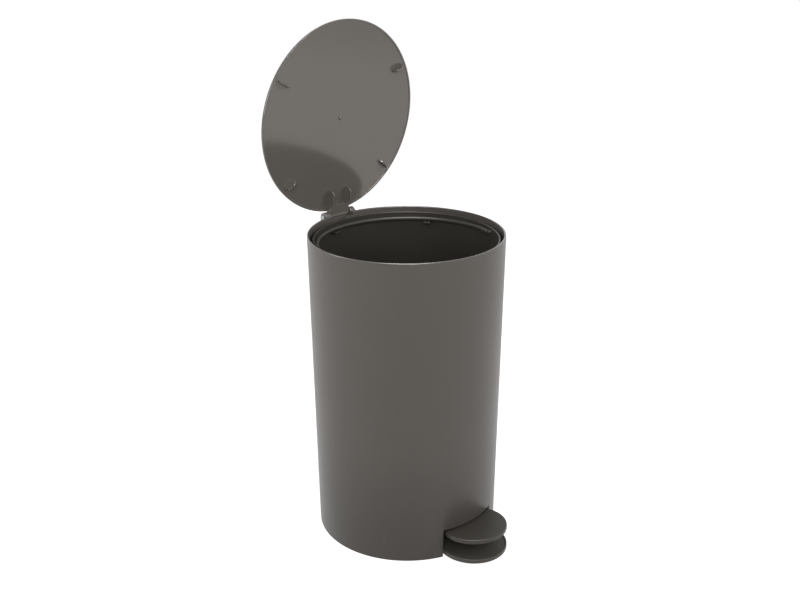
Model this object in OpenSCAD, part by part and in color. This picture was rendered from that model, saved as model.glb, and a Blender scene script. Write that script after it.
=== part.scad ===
// Round pedal pail with a hinged lid, a lift-out bucket and a push rod up the back.
// Heights are counted from the shell's bottom edge, with the shell's axis at x = y = 0.
// placed() then stands the pail on its feet, centred on its footprint. The front is -Y.

/* [Shell] */
// Outer diameter of the shell at its rim
shell_top_d = 170; // [150:1:190]
// Outer diameter of the shell at its bottom edge
shell_base_d = 162.2; // [150:0.2:170]
// Height of the shell
shell_h = 275; // [220:1:330]
// Thickness of the shell's wall
shell_wall = 1.5; // [1.2:0.1:2]
// How far the rim bead thickens the wall inwards
rim_bead = 0.3; // [0.2:0.1:0.8]
// Height of the rim bead
rim_bead_h = 2.6; // [1.5:0.1:5]
// Width of the slot for the pedal
slot_w = 59.2; // [50:0.2:64]
// Height of the slot's top edge
slot_top = 26.8; // [26:0.1:31]
// Corner radius of the slot
slot_corner_r = 1.5; // [1:0.5:5]
// Width of the rod channel on the back
channel_w = 14; // [12:0.5:18]
// How far the rod channel stands out of the wall
channel_out = 6.6; // [6:0.1:7.4]
// Radius of the rounding along the rim's edges
rim_round = 0.6; // [0.3:0.1:0.7]

/* [Bucket posts] */
// Height of the posts that carry the bucket
post_top = 34; // [32:0.5:44]
// Radius of a post
post_r = 4.5; // [3.5:0.1:6]
// Distance of the posts' axes inside the shell's bottom edge
post_inset = 11; // [9:0.5:15]
// Angle of the posts from the side-to-side line
post_angle = 35; // [30:1:50]

/* [Base pan] */
// Height of the pan's underside over the shell's bottom edge
pan_z = 3; // [2:0.1:4]
// Thickness of the pan and of its foot tongue
pan_t = 3.1; // [2.5:0.1:4]
// Radius of the foot tongue's round front
tongue_r = 30.2; // [28:0.1:34]
// Distance of the tongue's centre in front of the shell's bottom edge
tongue_out = 2.2; // [0:0.1:5]
// Height of the raised edge round the tongue's front
tongue_rim_h = 0.6; // [0.3:0.1:1]
// Width of the raised edge round the tongue's front
tongue_rim_w = 1.4; // [1:0.1:2]
// Height of the locating wall round the pan
pan_wall_h = 5; // [3:0.5:9]
// Radius of a rubber foot
foot_r = 7; // [5:0.5:10]
// Distance of the feet's middles inside the shell's bottom edge
foot_inset = 25; // [20:0.5:31]
// How far the feet stand below the shell's bottom edge
foot_proud = 1; // [0.5:0.1:2]
// Shank radius of a base screw
screw_r = 1.5; // [1.2:0.1:2]
// Length of a base screw under its head
screw_len = 14; // [10:0.5:20]
// Head radius of a base screw
screw_head_r = 2.8; // [2.4:0.1:3.6]
// Head height of a base screw
screw_head_h = 1.6; // [1.2:0.1:2.2]

/* [Pedal] */
// Radius of the pedal pad
pad_r = 29.1; // [26:0.1:29.2]
// Distance of the pad's centre in front of the shell's bottom edge
pad_out = 3.6; // [2:0.1:6.8]
// Height of the pad's skirt
pad_skirt = 3.9; // [3.2:0.1:5]
// Thickness of the pad's top
pad_t = 2; // [1.6:0.1:2.6]
// Thickness of the pad's skirt
pad_skirt_t = 1.8; // [1.4:0.1:2.4]
// Height of the pad's top over the axle, square to the lever
pad_rise = 5; // [4.6:0.1:6]
// Upward tilt of the released pedal
pedal_tilt = 3; // [2:0.1:3.4]
// Angle that the pedal travels when it is pressed
pedal_travel = 7.4; // [5:0.1:7.6]
// Distance of the axle from the shell's axis, towards the front
axle_c = 5; // [0:0.5:10]
// Height of the axle
axle_z = 16; // [15.5:0.1:16.5]
// Radius of the axle
axle_r = 2; // [1.5:0.1:2.5]
// Length of the axle
axle_len = 40; // [38:0.5:50]
// Width of the lever
lever_w = 22; // [18:0.5:26]
// Height of the lever's beam
lever_h = 6; // [5:0.1:6.4]
// Wall of the lever's channel section
lever_wall = 2; // [1.5:0.1:2.6]
// Length of the finger behind the lever's beam, up to the rod's line
finger_len = 14.4; // [10:0.1:20]
// Distance of the beam's front end inside the shell's bottom edge
lever_inset = 8.2; // [6:0.1:14]
// Outer radius of the lever's hub
hub_r = 5; // [4:0.1:5.6]
// Thickness of the two axle bosses on the pan
boss_t = 5; // [4:0.1:7]

/* [Push rod] */
// Radius of the push rod
rod_r = 1.2; // [1:0.1:1.4]
// Distance of the rod from the wall's outer face, outwards
rod_out = 0; // [-0.4:0.1:0]
// Radius of the cap on the rod's top
rod_cap_r = 2; // [1.8:0.1:2]
// Height of the cap on the rod's top
rod_cap_h = 8; // [6:0.5:12]
// Radius of the shoe at the rod's foot
rod_shoe_r = 2.8; // [2.4:0.1:3.2]
// Height of the shoe at the rod's foot
rod_shoe_h = 9; // [6:0.5:12]
// Height of the lower rod guide
guide_low_z = 90; // [60:1:110]
// Height of the upper rod guide
guide_high_z = 200; // [150:1:210]
// Thickness of a rod guide
guide_t = 5; // [3:0.5:8]

/* [Lid] */
// How far the lid's edge stands out over the shell's rim
lid_overhang = 0.5; // [0:0.1:1]
// Thickness of the lid
lid_wall = 2; // [1.6:0.1:3]
// Crown on the lid's outside; its underside is flat
lid_crown = 0.6; // [0.2:0.1:2]
// Height of the lip under the lid's edge
lip_h = 0.6; // [0.4:0.1:1]
// Thickness of the lip
lip_t = 1.6; // [1:0.1:2.2]
// Angle between the open lid and the closed lid
lid_open = 84; // [60:1:88]
// Radius of the half-round ribs near the lid's edge
rib_r = 6; // [5:0.1:6.2]
// Thickness of the ribs under the lid
rib_t = 1.5; // [1:0.1:2.2]
// Distance of the edge ribs' middles inside the lid's edge
rib_inset = 10.5; // [10.4:0.1:25]
// Angle of the two front edge ribs from the side-to-side line
rib_front_angle = 30; // [20:1:50]
// Angle of the two rear edge ribs from the side-to-side line
rib_rear_angle = 43; // [30:1:55]
// Depth of the two ribs by the hinge
hinge_rib_deep = 8; // [5:0.1:8]
// Radius of the round corner at each hinge rib's nose
hinge_rib_round = 4; // [2:0.1:5]
// Distance of each hinge rib from the middle
hinge_rib_x = 9.9; // [8:0.1:10.2]
// Distance of the hinge ribs' noses from the hinge axis
hinge_rib_len = 24.3; // [22:0.1:28]

/* [Hinge] */
// Distance of the hinge axis behind the rim
hinge_out = 4; // [4:0.1:5]
// Depth of the hinge axis below the rim
hinge_drop = 2; // [2:0.1:3]
// Radius of the hinge pin
pin_r = 1.3; // [1:0.1:1.4]
// Outer radius of the lid's knuckle
knuckle_r = 2.1; // [2:0.1:2.7]
// Half-width of the lid's hinge block
block_half = 11.2; // [10.7:0.1:11.4]
// Length of the hinge block in front of the axis
block_len = 10; // [9:0.1:11]
// Length of the hinge block behind the axis
block_back = 5.8; // [5:0.1:6]
// Depth of the hinge block's face below the axis
block_drop = 1.2; // [1:0.1:1.3]
// Distance of each ear's inner face from the middle
ear_in = 12; // [11.6:0.1:13]
// Thickness of an ear
ear_t = 5.4; // [4:0.1:10]
// Radius of an ear
ear_r = 4.4; // [3.6:0.1:4.6]
// Length of an ear's upright back under the axis
ear_back = 7; // [4:0.5:10]
// Height of an ear's gusset under the axis
ear_drop = 24; // [16:1:40]

/* [Bucket] */
// Depth of the bucket's rim below the shell's rim
bucket_drop = 4.2; // [4.2:0.1:8]
// Distance of the bucket's rim inside the shell's outer edge
bucket_gap = 4.6; // [4.2:0.1:9]
// Distance of the bucket's bottom edge inside the shell's bottom edge
bucket_base_gap = 8.5; // [7:0.1:15]
// Thickness of the bucket's wall and floor
bucket_wall = 1.4; // [1:0.1:2]
// Width of the bucket's rim
bucket_rim_w = 1.6; // [1.5:0.1:1.8]
// Height of the bucket's rim
bucket_rim_h = 2; // [1.5:0.1:2]
// Turn of the bucket in the shell
bucket_turn = -24; // [-30:1:30]
// Radius of the bail handle's rod
bail_r = 1.8; // [1.4:0.1:1.9]
// Depth of the bail handle below the bucket's rim
bail_drop = 4.1; // [4:0.1:8]
// Angle that the bail sags below level
bail_sag = 1.2; // [0:0.1:3]

/* [Hidden] */
$fn = 96;

// Clearances and small common sizes
run_gap = 0.05; // a shaft in its hole, on the radius
side_gap = 0.4; // between parts that pass each other
seat_gap = 0.3; // a loose piece over what carries it
over = 1; // how far a cutting solid reaches past what it cuts
eps = 0.01; // how far one solid runs into the next that it is joined to
fine = 160; // facets round the large circles

shell_top_r = shell_top_d / 2;
shell_base_r = shell_base_d / 2;
taper = atan((shell_top_r - shell_base_r) / shell_h);
pan_top = pan_z + pan_t;
pan_r = shell_base_r - shell_wall - seat_gap;
post_places = [post_angle, 180 - post_angle, 180 + post_angle, -post_angle];
post_place_r = shell_base_r - post_inset;
foot_place_r = shell_base_r - foot_inset;
tongue_c = shell_base_r + tongue_out;
pad_c = shell_base_r + pad_out - axle_c;
boss_in = lever_w / 2 + 1; // inner face of an axle boss

// Lid and hinge, with the lid closed
lid_r = shell_top_r + lid_overhang;
lid_z = shell_h + seat_gap; // lower face of the lip
lid_inner_z = lid_z + lip_h; // flat underside
hinge_y = shell_top_r + hinge_out;
hinge_z = shell_h - hinge_drop;
lid_h = lid_inner_z - hinge_z;
lid_edge_round = 0.8;
rib_place_r = lid_r - rib_inset;
block_face_z = hinge_z - block_drop;
block_back_swing = norm([block_back, block_drop]);
channel_top = hinge_z - max(knuckle_r, block_back_swing) - side_gap;
notch_z = block_face_z - over;

bail_head_t = 1; // head on each end of the bail

// Rod, whose line leans with the shell's wall
rod_y_top = shell_top_r + rod_out; // where that line meets the rim's height
rod_arm = axle_c + rod_y_top - (shell_h - axle_z) * sin(taper);
rod_stroke = rod_arm * pedal_travel * PI / 180;
rod_foot_z = axle_z - rod_arm * tan(pedal_tilt) + lever_h / 2 / cos(pedal_tilt) + seat_gap;
rod_top_z = block_face_z - rod_stroke - 2 * seat_gap;
rod_socket = 2; // how deep the rod's ends leave the cap and the shoe unfilled
lever_rear = rod_arm - finger_len;
lever_front = shell_base_r - lever_inset - axle_c;

bucket_z = post_top + seat_gap;
bucket_top = shell_h - bucket_drop;
bucket_rim_r = shell_top_r - bucket_gap;
bucket_rim_in = bucket_rim_r - bucket_rim_w;
bucket_base_r = shell_base_r - bucket_base_gap;
bucket_side_r = bucket_rim_in + bucket_wall;
bail_z = bucket_top - bail_drop;
bail_place_r = bucket_rim_in - bail_r - side_gap;
bail_end = bucket_rim_r + bail_head_t + seat_gap / 1.5;

// Reach of the pail to the front and the back of the shell's axis, which sets where it stands
pedal_reach = axle_c + (pad_c + pad_r) * cos(pedal_tilt) - (pad_rise - pad_skirt) * sin(pedal_tilt);
front_reach = max(tongue_c + tongue_r, pedal_reach);
lid_edge_back = hinge_y - lid_r;
lid_rear = hinge_y + (lid_h + lid_wall) * sin(lid_open)
    - (lid_edge_back + lid_edge_round) * cos(lid_open);
rear_reach = max(hinge_y + ear_r, lid_rear);
body_y = (front_reach - rear_reach) / 2;

taupe = [0.50, 0.46, 0.42];
taupe_dark = [0.40, 0.37, 0.34];
taupe_light = [0.58, 0.55, 0.51];
charcoal = [0.17, 0.16, 0.15];
steel = [0.72, 0.72, 0.74];
rubber = [0.10, 0.10, 0.10];

// Radius of the shell's outside at a height
function shell_r(z) = shell_base_r + (shell_top_r - shell_base_r) * z / shell_h;

// Radius of the bucket's outside at a height
function bucket_r(z) =
    bucket_base_r + (bucket_side_r - bucket_base_r) * (z - bucket_z) / (bucket_top - bucket_z);

// Height of the lid's crown at a distance from its centre
function crown(r) = lid_crown * (1 - pow(r / (lid_r - lid_edge_round), 2));

// Points on an arc round c, for the small roundings of a profile
function arc(c, r, from, to, n = 4) =
    [for (i = [0 : n]) let (a = from + (to - from) * i / n) c + r * [cos(a), sin(a)]];

// Point where the upper line from p touches the circle round c
function touch(p, c, r) =
    let (d = c - p, long = norm(d), turn = atan2(d[1], d[0]) + asin(r / long))
    p + sqrt(long * long - r * r) * [cos(turn), sin(turn)];

module placed() {
    translate([0, body_y, foot_proud]) children();
}

// Stands a solid along the rod's line, which leans with the shell's wall
module along_wall() {
    translate([0, rod_y_top, shell_h]) rotate([-taper, 0, 0]) translate([0, 0, -shell_h]) children();
}

// Extrudes a side outline, drawn as [y, z], over x from low to high
module across(low, high) {
    translate([low, 0, 0]) rotate([90, 0, 90]) linear_extrude(high - low) children();
}

module mirrored() {
    children();
    mirror([1, 0, 0]) children();
}

// Rectangle w wide and h high over the x line, with round upper corners
module arch_outline(w, h, r) {
    translate([-w / 2, 0]) square([w, h - r]);
    translate([-w / 2 + r, 0]) square([w - 2 * r, h]);
    for (x = [-1, 1]) translate([x * (w / 2 - r), h - r]) circle(r);
}

module cylinder_x(r, half) {
    rotate([0, 90, 0]) cylinder(r = r, h = 2 * half, center = true);
}

// Outer shell: tapered wall, rod channel, hinge ears and posts

module shell_wall_solid() {
    bead_in = shell_top_r - shell_wall - rim_bead;
    bead_z = shell_h - rim_bead_h;
    bevel = 0.4;
    round_z = shell_h - rim_round;
    rotate_extrude($fn = fine) polygon(concat(
        [[shell_base_r - bevel, 0], [shell_r(bevel), bevel]],
        arc([shell_r(round_z) - rim_round, round_z], rim_round, 0, 90),
        arc([bead_in + rim_round, round_z], rim_round, 90, 180),
        [
            [bead_in, bead_z],
            [shell_r(bead_z - rim_bead) - shell_wall, bead_z - rim_bead],
            [shell_base_r - shell_wall, 0]
        ]
    ));
}

module channel_outline(w, out, inward) {
    corner = 2;
    translate([-w / 2, -inward]) square([w, inward + out - corner]);
    translate([-w / 2 + corner, -inward]) square([w - 2 * corner, inward + out]);
    for (x = [-1, 1]) translate([x * (w / 2 - corner), out - corner]) circle(corner, $fn = 32);
}

module rear_channel(cavity) {
    along_wall()
        if (cavity)
            translate([0, -rod_out, -over])
                linear_extrude(shell_h + 2 * over)
                    channel_outline(channel_w - 2 * shell_wall, channel_out - shell_wall, 4 * shell_wall);
        else
            translate([0, -rod_out, 0])
                linear_extrude(channel_top)
                    channel_outline(channel_w, channel_out, shell_wall / 2);
}

// Ear seen from the side: round about the axis, upright at the back, sloping to the wall below
module ear() {
    root = 6; // how far in front of and below the rim the outline starts
    wall_y = shell_top_r - root;
    axis = [hinge_y, hinge_z];
    high = [wall_y, shell_h - root];
    low = [wall_y, hinge_z - ear_drop];
    back_high = [hinge_y + ear_r, hinge_z];
    back_low = [hinge_y + ear_r, hinge_z - ear_back];
    difference() {
        across(ear_in, ear_in + ear_t)
            union() {
                translate(axis) circle(ear_r);
                polygon([low, high, touch(high, axis, ear_r), axis, back_high, back_low]);
            }
        wall_middle();
    }
}

// Cone through the middle of the shell's wall
module wall_middle() {
    half = shell_wall / 2;
    cylinder(r1 = shell_base_r - half, r2 = shell_top_r - half, h = shell_h, $fn = fine);
}

module post(angle) {
    rotate([0, 0, angle])
        difference() {
            union() {
                translate([post_place_r, 0, pan_top]) cylinder(r = post_r, h = post_top - pan_top);
                translate([post_place_r, -shell_wall / 2, pan_top])
                    cube([shell_base_r - shell_wall / 2 - post_place_r, shell_wall, post_top - pan_top]);
            }
            translate([post_place_r, 0, pan_top - over])
                cylinder(r = screw_r, h = screw_len + over, $fn = 32);
        }
}

module outer_shell() {
    notch_in = 8; // how far in front of the rim's outer edge the notch starts
    color(taupe) placed() {
        difference() {
            union() {
                shell_wall_solid();
                rear_channel(false);
                mirrored() ear();
            }
            rear_channel(true);
            // slot for the pedal, open at the bottom
            translate([0, 0, -over])
                rotate([90, 0, 0])
                    linear_extrude(shell_top_r + over)
                        arch_outline(slot_w, slot_top + over, slot_corner_r);
            // notch in the rim for the lid's hinge block, as wide as the space between the ears
            translate([-ear_in, shell_top_r - notch_in, notch_z])
                cube([2 * ear_in, 2 * notch_in, shell_h - notch_z + over]);
            translate([0, hinge_y, hinge_z]) cylinder_x(pin_r + run_gap, ear_in + ear_t + over);
        }
        for (a = post_places) post(a);
    }
}

// Base pan with the foot tongue, the axle bosses and the lever's stop

// Round plate with a raised edge and softened corners
module tongue_disc() {
    top = pan_top + tongue_rim_h;
    edge = 0.6;
    rotate_extrude($fn = 120) polygon(concat(
        [[0, pan_z]],
        arc([tongue_r - edge, pan_z + edge], edge, -90, 0),
        arc([tongue_r - edge, top - edge], edge, 0, 90),
        [[tongue_r - tongue_rim_w, top], [tongue_r - tongue_rim_w - tongue_rim_h, pan_top], [0, pan_top]]
    ));
}

// Wall that locates the pan in the shell, open at the slot, the rod channel and the posts
module pan_wall() {
    low = pan_top - over;
    tall = pan_wall_h + 2 * over;
    difference() {
        translate([0, 0, pan_top - eps]) cylinder(r = pan_r, h = pan_wall_h, $fn = fine);
        translate([0, 0, low]) cylinder(r = pan_r - shell_wall, h = tall, $fn = fine);
        translate([-slot_w / 2 - over, -shell_base_r - over, low])
            cube([slot_w + 2 * over, pan_r / 2, tall]);
        translate([-channel_w / 2, pan_r / 2, low]) cube([channel_w, pan_r, tall]);
        for (a = post_places)
            rotate([0, 0, a])
                translate([pan_r - 2 * shell_wall, -post_r - over, low])
                    cube([4 * shell_wall, 2 * (post_r + over), tall]);
    }
}

module base_pan() {
    neck_half = slot_w / 2 - side_gap;
    boss_low = pan_top - eps;
    stop_t = 6;
    stop_y = lever_rear - axle_c - 2 * stop_t;
    stop_z = axle_z - (stop_y + axle_c) * sin(pedal_tilt) - lever_h / 2 - 2 * seat_gap;
    color(taupe_dark) placed() difference() {
        union() {
            translate([0, 0, pan_z]) cylinder(r = pan_r, h = pan_t, $fn = fine);
            // tongue, wide outside the shell and narrower through the slot
            difference() {
                translate([0, -tongue_c, 0]) tongue_disc();
                translate([0, 0, pan_z - over])
                    cylinder(r = shell_r(pan_top) + side_gap, h = 3 * pan_t, $fn = fine);
            }
            intersection() {
                translate([0, -tongue_c, pan_z]) cylinder(r = tongue_r, h = pan_t);
                translate([-neck_half, -tongue_c, pan_z]) cube([2 * neck_half, tongue_r, pan_t]);
            }
            pan_wall();
            // bosses for the axle, and the stop under the lever's tail
            mirrored()
                across(boss_in, boss_in + boss_t)
                    union() {
                        translate([-axle_c, axle_z]) circle(hub_r);
                        translate([-axle_c - hub_r, boss_low]) square([2 * hub_r, axle_z - boss_low]);
                    }
            translate([-lever_w / 2, stop_y, boss_low]) cube([lever_w, stop_t, stop_z - boss_low]);
        }
        translate([0, -axle_c, axle_z]) cylinder_x(axle_r + run_gap, boss_in + boss_t + over);
        for (a = post_places)
            rotate([0, 0, a])
                translate([post_place_r, 0, pan_z - over]) {
                    cylinder(r = screw_r + side_gap / 2, h = pan_t + 2 * over, $fn = 32);
                    cylinder(r = screw_head_r + seat_gap, h = screw_head_h + over, $fn = 32);
                }
    }
}

module base_screws() {
    cross_w = 0.6;
    cross_len = 3.2;
    cross_deep = 0.9;
    color(steel) placed()
        for (a = post_places)
            rotate([0, 0, a])
                translate([post_place_r, 0, pan_z])
                    difference() {
                        union() {
                            cylinder(r = screw_head_r, h = screw_head_h, $fn = 32);
                            cylinder(r = screw_r, h = screw_len, $fn = 32);
                        }
                        for (t = [0, 90])
                            rotate([0, 0, t])
                                translate([-cross_len / 2, -cross_w / 2, -over])
                                    cube([cross_len, cross_w, cross_deep + over]);
                    }
}

module foot(x_side, y_side) {
    color(rubber) placed()
        translate([x_side * foot_place_r * cos(45), y_side * foot_place_r * sin(45), -foot_proud])
            cylinder(r = foot_r, h = foot_proud + pan_z, $fn = 48);
}

module foot_front_left() { foot(-1, -1); }
module foot_front_right() { foot(1, -1); }
module foot_rear_left() { foot(-1, 1); }
module foot_rear_right() { foot(1, 1); }

// Pedal: lever, pad, axle. The lever is drawn level about its axle, then tilted

module on_axle() {
    placed() translate([0, -axle_c, axle_z]) rotate([-pedal_tilt, 0, 0]) children();
}

module pedal_lever() {
    top = lever_h / 2;
    long = lever_front + lever_rear;
    shelf_t = 2.2;
    shelf_reach = pad_c + pad_r / 2;
    finger_half = channel_w / 2 - shell_wall - 1.4;
    finger_reach = rod_arm + rod_shoe_r + side_gap;
    color(charcoal) on_axle() difference() {
        union() {
            difference() {
                translate([-lever_w / 2, -lever_front, -top]) cube([lever_w, long, lever_h]);
                translate([-lever_w / 2 + lever_wall, -lever_front + lever_wall, -top - over])
                    cube([lever_w - 2 * lever_wall, long - 2 * lever_wall, lever_h + over - lever_wall]);
            }
            cylinder_x(hub_r, lever_w / 2);
            // shelf under the pad
            translate([-lever_w / 2, -shelf_reach, top - shelf_t])
                cube([lever_w, shelf_reach - lever_front + over, shelf_t]);
            // finger that lifts the rod
            translate([-finger_half, lever_rear - over, -top])
                cube([2 * finger_half, finger_reach - lever_rear + over, lever_h]);
        }
        cylinder_x(axle_r + run_gap, lever_w);
    }
}

module pedal_pad() {
    top = pad_rise;
    bottom = pad_rise - pad_skirt;
    cut_y = shell_base_r - 6 - axle_c;
    edge = 0.9;
    low_edge = 0.4;
    color(taupe) on_axle() difference() {
        translate([0, -pad_c, 0]) rotate_extrude($fn = 120) polygon(concat(
            [[0, bottom]],
            arc([pad_r - low_edge, bottom + low_edge], low_edge, -90, 0, 3),
            arc([pad_r - edge, top - edge], edge, 0, 90),
            [[0, top]]
        ));
        // hollow underside, and the straight back inside the slot
        translate([0, -pad_c, bottom - over])
            cylinder(r = pad_r - pad_skirt_t, h = pad_skirt - pad_t + over);
        translate([-pad_r - over, -cut_y, bottom - over])
            cube([2 * (pad_r + over), 2 * pad_r, pad_skirt + 2 * over]);
    }
}

module pedal_axle() {
    color(steel) placed() translate([0, -axle_c, axle_z]) cylinder_x(axle_r, axle_len / 2);
}

// Push nut on a shaft that runs along x, its inner face at x = 0
module push_nut(r, wide) {
    nut_t = 0.8;
    rotate([0, 90, 0]) difference() {
        cylinder(r = r + wide, h = nut_t, $fn = 48);
        translate([0, 0, -over]) cylinder(r = r, h = nut_t + 2 * over, $fn = 48);
    }
}

module axle_push_nuts() {
    color(steel) placed() translate([0, -axle_c, axle_z])
        mirrored()
            translate([boss_in + boss_t + side_gap / 2, 0, 0]) push_nut(axle_r, 2);
}

// Push rod with its cap and shoe, in two guides

module push_rod() {
    color(steel) placed() along_wall()
        translate([0, 0, rod_foot_z + rod_socket])
            cylinder(r = rod_r, h = rod_top_z - rod_foot_z - 2 * rod_socket, $fn = 48);
}

module rod_cap() {
    dome = 1.5;
    color(charcoal) placed() along_wall() translate([0, 0, rod_top_z - rod_cap_h])
        rotate_extrude($fn = 48) polygon([
            [rod_r, 0],
            [rod_cap_r, 0],
            [rod_cap_r, rod_cap_h - dome],
            [rod_cap_r - dome, rod_cap_h],
            [0, rod_cap_h],
            [0, rod_cap_h - rod_socket],
            [rod_r, rod_cap_h - rod_socket]
        ]);
}

module rod_shoe() {
    color(charcoal) placed() along_wall() translate([0, 0, rod_foot_z])
        rotate_extrude($fn = 48) polygon([
            [0, 0],
            [rod_shoe_r - 1, 0],
            [rod_shoe_r, 1],
            [rod_shoe_r, rod_shoe_h],
            [rod_r, rod_shoe_h],
            [rod_r, rod_socket],
            [0, rod_socket]
        ]);
}

// Guide block in the channel, with a narrower tail that fits the channel's round corners
module rod_guide(z) {
    half = channel_w / 2 - shell_wall - seat_gap;
    back = channel_out - shell_wall - rod_out - seat_gap;
    front = 4;
    tail = 2;
    color(charcoal) placed() along_wall() translate([0, 0, z]) {
        difference() {
            translate([-half, -front, 0]) cube([2 * half, front + back - tail, guide_t]);
            translate([0, 0, -over]) cylinder(r = rod_r + 2 * run_gap, h = guide_t + 2 * over, $fn = 48);
        }
        translate([-half + tail, back - tail - eps, 0]) cube([2 * (half - tail), tail, guide_t]);
    }
}

module rod_guide_lower() { rod_guide(guide_low_z); }
module rod_guide_upper() { rod_guide(guide_high_z); }

// Lid, drawn closed and then turned up about the hinge axis

module opened() {
    placed() translate([0, hinge_y, hinge_z]) rotate([-lid_open, 0, 0]) translate([0, -hinge_y, -hinge_z])
        children();
}

module lid_plate() {
    steps = 10;
    lip_in = lid_r - lip_t;
    lip_round = 0.3;
    bevel = 0.2;
    flat_r = lid_r - lid_edge_round;
    top = lid_inner_z + lid_wall;
    rotate_extrude($fn = fine) polygon(concat(
        [[0, lid_inner_z], [lip_in, lid_inner_z], [lip_in, lid_z + bevel], [lip_in + bevel, lid_z]],
        arc([lid_r - lip_round, lid_z + lip_round], lip_round, -90, 0, 3),
        arc([flat_r, top - lid_edge_round], lid_edge_round, 0, 90),
        [for (i = [steps - 1 : -1 : 0]) let (r = flat_r * i / steps) [r, top + crown(r)]]
    ));
}

// Half-round rib in the x-z plane, hanging from the lid's underside
module rib(r) {
    intersection() {
        translate([0, rib_t / 2, lid_inner_z]) rotate([90, 0, 0]) cylinder(r = r, h = rib_t, $fn = 64);
        translate([-r - over, -rib_t, lid_inner_z - r - over])
            cube([2 * (r + over), 2 * rib_t, r + 2 * over]);
    }
}

// Rib beside the middle, from its round nose back to the hinge block. Behind the bucket's rim
// it is no deeper than the block
module hinge_rib() {
    nose_y = hinge_y - hinge_rib_len;
    low_z = lid_inner_z - hinge_rib_deep;
    step_y = bucket_rim_in - 4 * side_gap;
    across(hinge_rib_x - rib_t / 2, hinge_rib_x + rib_t / 2) {
        difference() {
            translate([nose_y, low_z]) square([step_y - nose_y, hinge_rib_deep + over]);
            translate([nose_y, low_z])
                difference() {
                    translate([-over, -over]) square(hinge_rib_round + over);
                    translate([hinge_rib_round, hinge_rib_round]) circle(hinge_rib_round, $fn = 64);
                }
        }
        translate([step_y - over, block_face_z])
            square([hinge_y - block_len - step_y + 2 * over, lid_inner_z - block_face_z + over]);
    }
}

module lid() {
    gate_r = 1.8;
    gate_h = 1.2;
    block_top = lid_inner_z + lid_wall / 2;
    rib_angles = [rib_front_angle, 180 - rib_front_angle, 180 + rib_rear_angle, -rib_rear_angle];
    color(taupe_light) opened() difference() {
        union() {
            lid_plate();
            for (a = rib_angles)
                rotate([0, 0, -a])
                    translate([rib_place_r, 0, 0])
                        rib(rib_r);
            mirrored() hinge_rib();
            // gate mark at the middle of the underside
            translate([0, 0, lid_inner_z - gate_h]) cylinder(r = gate_r, h = 2 * gate_h, $fn = 32);
            // block under the lid, and its tail behind the axis
            translate([-block_half, hinge_y - block_len, block_face_z])
                cube([2 * block_half, block_len, block_top - block_face_z]);
            translate([-block_half, hinge_y - over, block_face_z])
                cube([2 * block_half, block_back + over, lid_inner_z - block_face_z]);
            translate([0, hinge_y, hinge_z]) cylinder_x(knuckle_r, ear_in - side_gap);
        }
        translate([0, hinge_y, hinge_z]) cylinder_x(pin_r + run_gap, ear_in + over);
    }
}

module hinge_pin() {
    head_t = 1;
    head_wide = 1.2;
    tail = 1.2;
    end = ear_in + ear_t;
    head_x = -end - side_gap / 2 - head_t;
    color(steel) placed() translate([head_x, hinge_y, hinge_z]) rotate([0, 90, 0]) {
        cylinder(r = pin_r, h = end - head_x + tail, $fn = 48);
        cylinder(r = pin_r + head_wide, h = head_t, $fn = 48);
    }
}

module hinge_pin_nut() {
    color(steel) placed() translate([ear_in + ear_t + side_gap / 2, hinge_y, hinge_z]) push_nut(pin_r, 1.8);
}

// Bucket and its bail handle

module in_bucket() {
    placed() rotate([0, 0, bucket_turn]) children();
}

module inner_bucket() {
    rim_z = bucket_top - bucket_rim_h;
    floor_z = bucket_z + bucket_wall;
    foot_bevel = 1;
    edge = 0.5;
    color(charcoal) in_bucket() {
        difference() {
            rotate_extrude($fn = 144) polygon(concat([
                [0, bucket_z],
                [bucket_base_r - foot_bevel, bucket_z],
                [bucket_r(bucket_z + foot_bevel), bucket_z + foot_bevel],
                [bucket_r(rim_z), rim_z],
                [bucket_rim_r, rim_z]],
                arc([bucket_rim_r - edge, bucket_top - edge], edge, 0, 90, 3),
                arc([bucket_rim_in + edge, bucket_top - edge], edge, 90, 180, 3),
                [[bucket_r(floor_z) - bucket_wall, floor_z],
                [0, floor_z]]
            ));
            translate([0, 0, bail_z]) cylinder_x(bail_r + 2 * run_gap, bucket_rim_r + over);
        }
        for (a = [55, 125]) bail_lug(a);
    }
}

// Lug inside the bucket that the bail lies on
module bail_lug(angle) {
    lug_w = 7;
    lug_t = 2;
    lug_out = 8;
    top = bail_z - bail_place_r * sin(angle) * sin(bail_sag) - bail_r - 1.5 * seat_gap;
    rotate([0, 0, angle])
        intersection() {
            translate([bucket_rim_r - lug_out, -lug_w / 2, top - lug_t]) cube([lug_out, lug_w, lug_t]);
            difference() {
                cylinder(r = bucket_r(top - lug_t) - bucket_wall / 2, h = bucket_top);
                translate([0, 0, -over]) cylinder(r = bail_place_r - 1, h = bucket_top + 2 * over);
            }
        }
}

// The bail turns about its two stubs, so it is drawn level and then tipped by its sag
module bail_handle() {
    head_wide = 0.6;
    stub = bail_end - bail_place_r;
    color(taupe_dark) in_bucket() translate([0, 0, bail_z]) rotate([-bail_sag, 0, 0]) {
        rotate_extrude(angle = 180, $fn = 144) translate([bail_place_r, 0]) circle(bail_r, $fn = 32);
        mirrored() translate([bail_place_r, 0, 0]) {
            sphere(bail_r, $fn = 32);
            rotate([0, 90, 0]) cylinder(r = bail_r, h = stub, $fn = 32);
            translate([stub - bail_head_t, 0, 0]) rotate([0, 90, 0])
                cylinder(r = bail_r + head_wide, h = bail_head_t, $fn = 32);
        }
    }
}

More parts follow.
